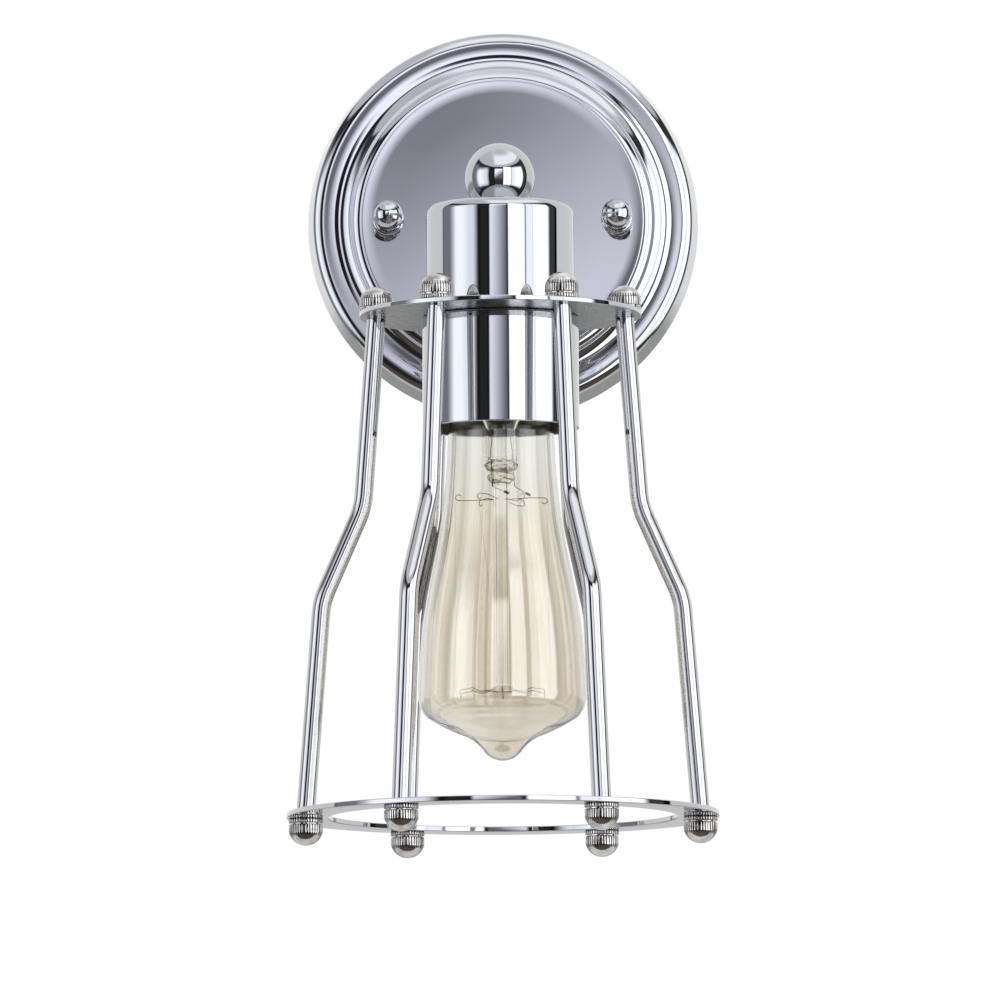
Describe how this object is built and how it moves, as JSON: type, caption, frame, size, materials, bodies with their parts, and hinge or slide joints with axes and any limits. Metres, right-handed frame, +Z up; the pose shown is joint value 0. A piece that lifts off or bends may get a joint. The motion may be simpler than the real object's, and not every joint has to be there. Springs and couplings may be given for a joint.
{
  "type": "caged vanity wall light",
  "caption": "Wall light with a round stepped canopy, a short arm with a ball elbow and a flared cage of bent rods round a bare filament bulb.",
  "frame": {"origin": "centre of the canopy on the wall plane, midway between the two box screw slots", "axes": "+X to the right, +Y into the wall, +Z up; the light stands out from the wall along -Y"},
  "size_m": [0.1632, 0.2186, 0.3291],
  "materials": {
    "chrome_plate": "polished chrome plate",
    "nickel_plate": "bright nickel plate",
    "zinc_plate": "zinc plated steel",
    "green_screw": "green dyed zinc plate",
    "porcelain": "white glazed porcelain",
    "shell_metal": "thin pressed aluminium",
    "contact_brass": "spring brass",
    "cap_brass": "pressed brass",
    "cap_insulator": "black glass",
    "solder": "dull solder",
    "bulb_envelope": "clear glass with a light amber tint",
    "clear_glass": "clear glass",
    "fine_wire": "bare drawn wire"
  },
  "bodies": {
    "fixture": {"canopy": "chrome_plate", "arm_tube": "chrome_plate", "elbow_ball": "chrome_plate", "upper_cup": "chrome_plate", "socket_sleeve": "chrome_plate", "cage_plate": "chrome_plate", "bottom_ring": "chrome_plate", "rod_right": "chrome_plate", "rod_back_right": "chrome_plate", "rod_back_left": "chrome_plate", "rod_left": "chrome_plate", "rod_front_left": "chrome_plate", "rod_front_right": "chrome_plate", "top_nuts": "nickel_plate", "bottom_nuts": "nickel_plate", "mounting_bar": "zinc_plate", "mounting_studs": "zinc_plate", "stud_nuts": "zinc_plate", "canopy_nipple": "zinc_plate", "ball_nipple": "zinc_plate", "drop_nipple": "zinc_plate", "arm_lock_washer": "zinc_plate", "arm_locknut": "zinc_plate", "socket_bracket": "zinc_plate", "socket_screws": "zinc_plate", "ground_screw": "green_screw", "socket_body": "porcelain", "socket_shell": "shell_metal", "socket_contact": "contact_brass"},
    "bulb": {"bulb_cap": "cap_brass", "bulb_insulator": "cap_insulator", "bulb_contact": "solder", "bulb_glass": "bulb_envelope", "bulb_stem": "clear_glass", "bulb_post": "clear_glass", "bulb_upper_supports": "fine_wire", "bulb_lower_supports": "fine_wire", "bulb_leads": "fine_wire", "bulb_filament": "fine_wire"},
    "finial_left": {"finial_left": "chrome_plate"},
    "finial_right": {"finial_right": "chrome_plate"}
  },
  "joints": [
    {"name": "bulb_out", "type": "slide", "parent": "fixture", "child": "bulb", "axis": [0, 0, -1], "range_m": [0, 0.03]},
    {"name": "finial_left_off", "type": "slide", "parent": "fixture", "child": "finial_left", "axis": [0, -1, 0], "range_m": [0, 0.009]},
    {"name": "finial_right_off", "type": "slide", "parent": "fixture", "child": "finial_right", "axis": [0, -1, 0], "range_m": [0, 0.009]}
  ]
}
